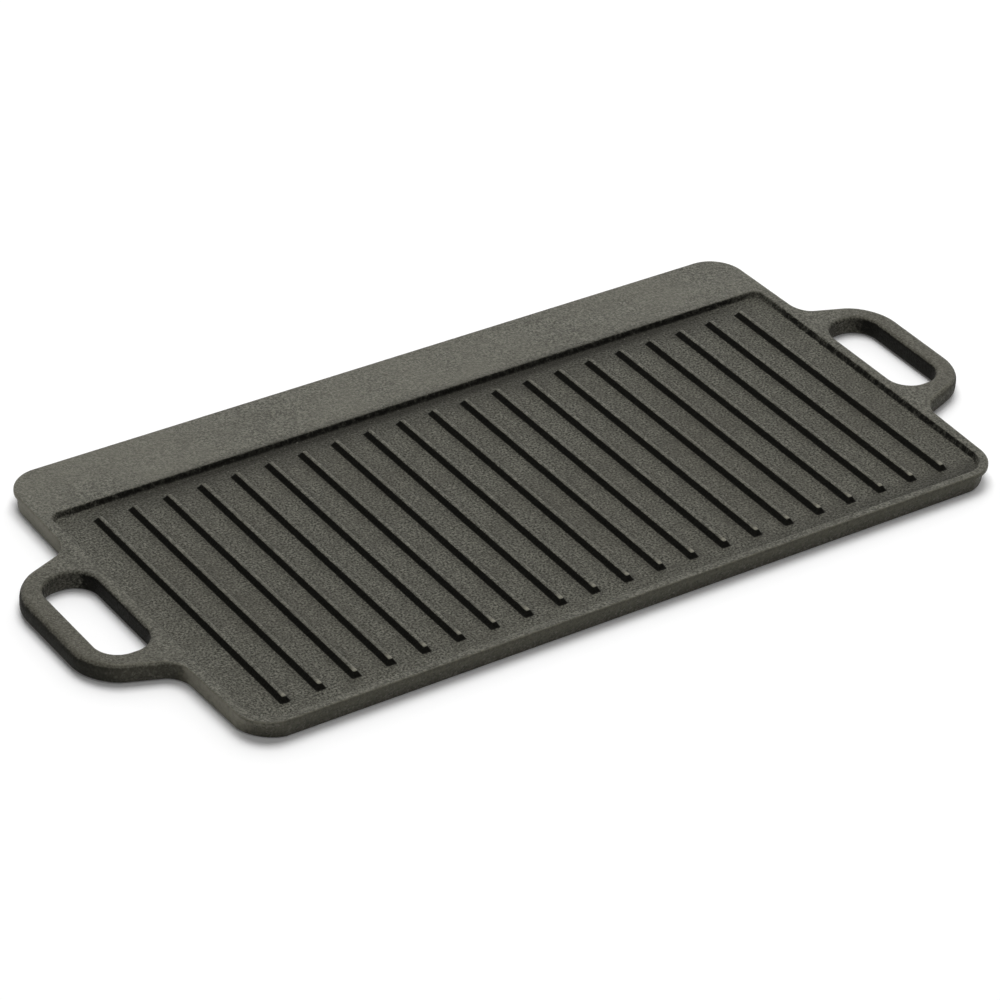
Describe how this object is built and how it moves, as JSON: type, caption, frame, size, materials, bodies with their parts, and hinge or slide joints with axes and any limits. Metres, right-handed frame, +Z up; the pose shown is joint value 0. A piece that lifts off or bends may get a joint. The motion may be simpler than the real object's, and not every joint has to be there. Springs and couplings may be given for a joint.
{
  "type": "camp griddle plate",
  "caption": "Reversible cast-iron griddle plate with a ribbed basin, a flat landing along the back and an integral loop handle at each short end.",
  "frame": {"origin": "under the middle of the plate, on the surface it rests on", "axes": "+X along the long side from handle to handle, +Y from the front rim to the landing, +Z up out of the ribbed side"},
  "size_m": [0.5134, 0.2336, 0.0107],
  "materials": {
    "cast_iron": "seasoned satin black with a fine sand-cast grain"
  },
  "bodies": {
    "root": {"griddle_plate": "cast_iron"}
  },
  "joints": []
}
